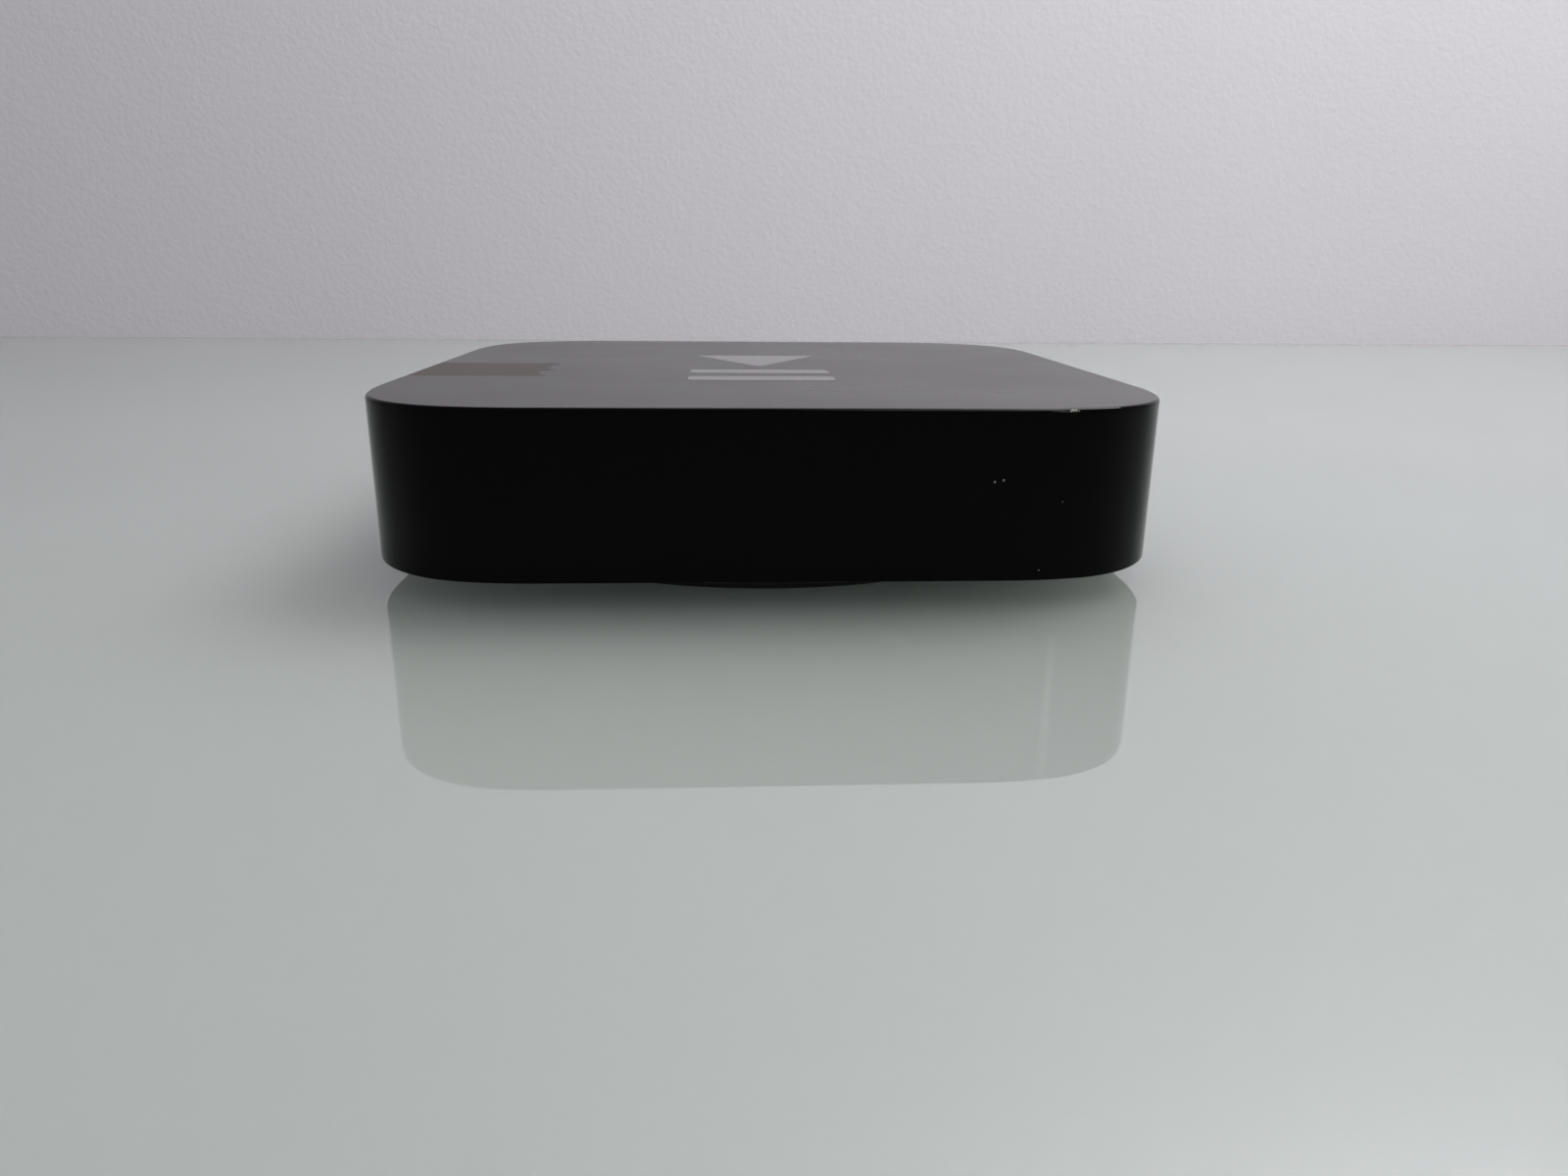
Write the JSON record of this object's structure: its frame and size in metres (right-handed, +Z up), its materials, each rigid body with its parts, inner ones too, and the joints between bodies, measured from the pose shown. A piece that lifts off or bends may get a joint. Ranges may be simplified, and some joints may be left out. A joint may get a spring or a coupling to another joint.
{
  "type": "streaming media player",
  "caption": "Small square set-top box with rounded corners, polished sides, a satin top, a round rubber foot and a row of sockets across the back.",
  "frame": {"origin": "on the surface the box stands on, under the centre of the housing", "axes": "+Z up, -Y the front with the status light, +Y the rear with the sockets, +X to the right seen from the front"},
  "size_m": [0.098, 0.098, 0.023],
  "materials": {
    "gloss_black_plastic": "piano-black ABS, polished sides and satin top",
    "matte_black_plastic": "fine-textured moulded polycarbonate",
    "foot_rubber": "matt moulded silicone rubber",
    "socket_plastic": "moulded nylon",
    "shell_steel": "nickel-plated pressed steel",
    "contact_gold": "gold-plated phosphor bronze",
    "pin_brass": "nickel-plated brass",
    "spring_steel": "spring wire",
    "logic_laminate": "glass-epoxy laminate, dark solder mask",
    "power_laminate": "glass-epoxy laminate, green solder mask",
    "chip_epoxy": "moulded epoxy",
    "thermal_silicone": "soft filled silicone",
    "spreader_aluminium": "rolled sheet",
    "insulating_film": "folded polycarbonate film",
    "ferrite": "sintered ferrite",
    "winding_tape": "polyester tape over copper wire",
    "can_sleeve": "printed sleeve over an aluminium can",
    "mains_component": "dipped and moulded components",
    "lead_insulation": "PVC insulation",
    "connector_nylon": "natural nylon",
    "screw_steel": "zinc-plated steel",
    "clear_acrylic": "clear acrylic",
    "filter_plastic": "dark infrared-passing epoxy",
    "lamp_package": "white light-emitting diode",
    "antenna_copper": "etched copper on film",
    "ceramic_chip": "ceramic chip parts"
  },
  "bodies": {
    "player": {"housing": "gloss_black_plastic", "base_cover": "matte_black_plastic", "foot_pad": "foot_rubber", "inlet_body": "socket_plastic", "inlet_pins": "pin_brass", "power_board": "power_laminate", "power_insulator": "insulating_film", "transformer_core": "ferrite", "transformer_winding": "winding_tape", "bulk_capacitors": "can_sleeve", "output_capacitors": "can_sleeve", "mains_choke": "ferrite", "mains_parts": "mains_component", "output_choke": "ferrite", "power_headers": "connector_nylon", "power_lead": "lead_insulation", "video_shell": "shell_steel", "video_insulator": "socket_plastic", "video_contacts": "contact_gold", "service_shell": "shell_steel", "service_insulator": "socket_plastic", "service_contacts": "contact_gold", "optical_body": "socket_plastic", "optical_emitter": "filter_plastic", "shutter_pin": "spring_steel", "shutter_spring": "spring_steel", "network_body": "socket_plastic", "network_shield": "shell_steel", "network_contacts": "contact_gold", "logic_board": "logic_laminate", "processor": "chip_epoxy", "processor_can": "shell_steel", "thermal_pad": "thermal_silicone", "heat_spreader": "spreader_aluminium", "memory_chips": "chip_epoxy", "network_transformer": "chip_epoxy", "small_parts": "ceramic_chip", "radio_module": "logic_laminate", "radio_can": "shell_steel", "antenna": "antenna_copper", "antenna_cable": "insulating_film", "antenna_plug": "contact_gold", "sensor_board": "power_laminate", "infrared_receiver": "filter_plastic", "status_light": "lamp_package", "light_pipe": "clear_acrylic", "signal_headers": "connector_nylon", "sensor_lead": "insulating_film", "board_screws": "screw_steel", "spreader_screws": "screw_steel", "sensor_screws": "screw_steel"},
    "shutter": {"optical_shutter": "socket_plastic"}
  },
  "joints": [
    {"name": "shutter_hinge", "type": "hinge", "parent": "player", "child": "shutter", "pos_m": [-0.01, 0.0471, 0.01585], "axis": [-1, 0, 0], "range_deg": [0, 85], "stiffness_Nm_per_rad": 0.00001, "springref_deg": -28.65}
  ]
}
